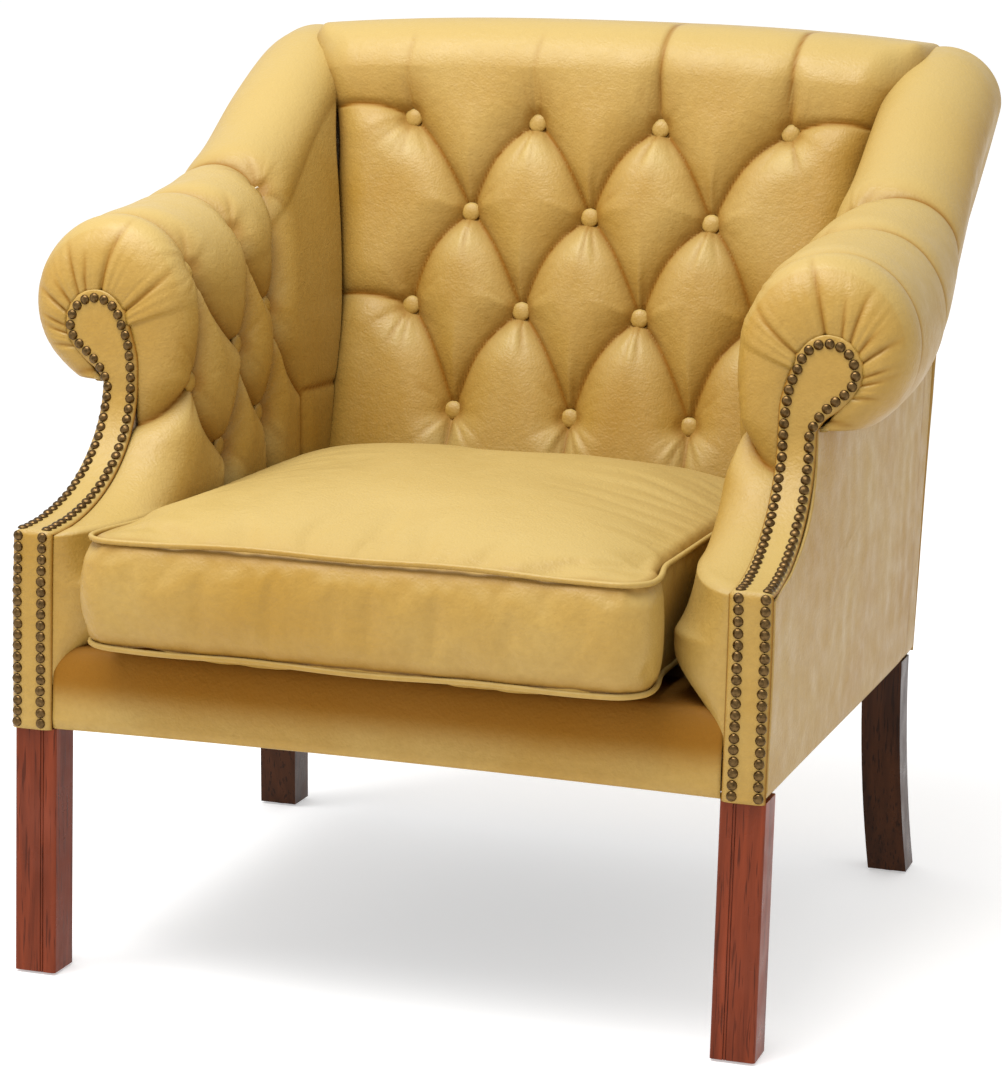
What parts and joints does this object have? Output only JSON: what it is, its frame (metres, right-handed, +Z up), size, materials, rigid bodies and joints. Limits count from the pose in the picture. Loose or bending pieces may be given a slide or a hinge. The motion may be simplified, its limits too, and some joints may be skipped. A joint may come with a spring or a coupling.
{
  "type": "upholstered armchair",
  "caption": "Low tub armchair with rolled arms and a deep-buttoned leather back, nailed scroll facings, a loose piped seat cushion and square timber legs.",
  "frame": {"origin": "on the floor, under the middle of the whole chair's box", "axes": "+Z up, the chair faces -Y, +X to the right of someone looking at its front"},
  "size_m": [0.876, 0.857, 0.897],
  "materials": {
    "leather": "semi-gloss pigmented hide with fine grain",
    "mahogany": "satin red-brown stained lacquer",
    "beech": "sawn, unfinished",
    "foam": "open-cell upholstery foam",
    "hessian": "plain woven jute",
    "felt": "needled felt",
    "cambric": "thin black dust cloth",
    "twine": "waxed linen",
    "spring_steel": "bright drawn wire",
    "antique_brass": "antiqued, slightly glossy",
    "glide_plastic": "matt moulded"
  },
  "bodies": {
    "chair": {"front_leg_left": "mahogany", "front_leg_right": "mahogany", "rear_leg_left": "mahogany", "rear_leg_right": "mahogany", "leg_glides": "glide_plastic", "front_seat_rail": "beech", "back_seat_rail": "beech", "side_seat_rail_left": "beech", "side_seat_rail_right": "beech", "corner_blocks": "beech", "corner_block_screws": "spring_steel", "arm_post_left": "beech", "arm_post_right": "beech", "arm_rail_left": "beech", "arm_rail_right": "beech", "arm_ramp_left": "beech", "arm_ramp_right": "beech", "arm_tack_rail_left": "beech", "arm_tack_rail_right": "beech", "back_top_rail": "beech", "back_tack_rail": "beech", "seat_springs": "spring_steel", "spring_clips": "spring_steel", "seat_hessian": "hessian", "seat_felt": "felt", "seat_deck": "leather", "back_webbing": "hessian", "back_hessian": "hessian", "arm_webbing_left": "hessian", "arm_webbing_right": "hessian", "inside_arm_pad_left": "foam", "inside_arm_pad_right": "foam", "arm_roll_pad_left": "foam", "arm_roll_pad_right": "foam", "arm_cover_left": "leather", "arm_cover_right": "leather", "back_pad": "foam", "back_cover": "leather", "outside_arm_left": "leather", "outside_arm_right": "leather", "outside_back": "leather", "front_border": "leather", "arm_facing_left": "leather", "arm_facing_right": "leather", "facing_nails_left": "antique_brass", "facing_nails_right": "antique_brass", "back_buttons": "leather", "arm_buttons_left": "leather", "arm_buttons_right": "leather", "back_button_ties": "twine", "arm_button_ties": "twine", "dust_cover": "cambric"},
    "cushion": {"cushion_core": "foam", "cushion_cover": "leather", "cushion_piping_top": "leather", "cushion_piping_bottom": "leather", "cushion_zip": "cambric"},
    "zip_slider": {"zip_slider": "antique_brass"}
  },
  "joints": [
    {"name": "cushion_lift", "type": "slide", "parent": "chair", "child": "cushion", "axis": [0, 0, 1], "range_m": [0, 0.3]},
    {"name": "zip_slide", "type": "slide", "parent": "cushion", "child": "zip_slider", "axis": [1, 0, 0], "range_m": [0, 0.42]}
  ]
}
